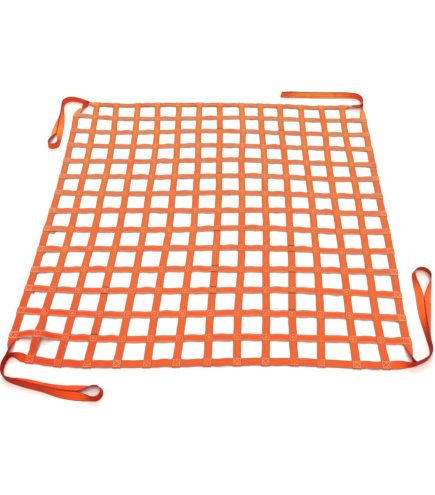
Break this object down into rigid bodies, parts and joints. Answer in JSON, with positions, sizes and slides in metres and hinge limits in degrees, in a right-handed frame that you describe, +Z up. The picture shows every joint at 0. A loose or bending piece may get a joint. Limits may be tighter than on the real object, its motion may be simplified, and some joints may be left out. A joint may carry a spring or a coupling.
{
  "type": "cargo lifting net",
  "caption": "Square lifting net of flat webbing straps crossed in a grid and sewn at the crossings, lying flat, with a long sling loop at each corner",
  "frame": {"origin": "on the floor under the middle of the grid, where the seventh straps of each direction cross", "axes": "+X to the right along the crosswise straps, +Y to the back along the lengthwise straps, +Z up"},
  "size_m": [1.7152, 1.7022, 0.0306],
  "materials": {
    "lengthwise_webbing": "orange polyester webbing, matt",
    "crosswise_webbing": "orange polyester webbing, matt",
    "border_webbing": "orange polyester webbing, matt",
    "loop_webbing": "orange polyester webbing, matt"
  },
  "bodies": {
    "root": {"border_back": "border_webbing", "border_front": "border_webbing", "border_left": "border_webbing", "border_right": "border_webbing", "crosswise_01": "crosswise_webbing", "crosswise_02": "crosswise_webbing", "crosswise_03": "crosswise_webbing", "crosswise_04": "crosswise_webbing", "crosswise_05": "crosswise_webbing", "crosswise_06": "crosswise_webbing", "crosswise_07": "crosswise_webbing", "crosswise_08": "crosswise_webbing", "crosswise_09": "crosswise_webbing", "crosswise_10": "crosswise_webbing", "crosswise_11": "crosswise_webbing", "crosswise_12": "crosswise_webbing", "crosswise_13": "crosswise_webbing", "lengthwise_01": "lengthwise_webbing", "lengthwise_02": "lengthwise_webbing", "lengthwise_03": "lengthwise_webbing", "lengthwise_04": "lengthwise_webbing", "lengthwise_05": "lengthwise_webbing", "lengthwise_06": "lengthwise_webbing", "lengthwise_07": "lengthwise_webbing", "lengthwise_08": "lengthwise_webbing", "lengthwise_09": "lengthwise_webbing", "lengthwise_10": "lengthwise_webbing", "lengthwise_11": "lengthwise_webbing", "lengthwise_12": "lengthwise_webbing", "lengthwise_13": "lengthwise_webbing", "loop_back_left": "loop_webbing", "loop_back_right": "loop_webbing", "loop_front_left": "loop_webbing", "loop_front_right": "loop_webbing"}
  },
  "joints": []
}
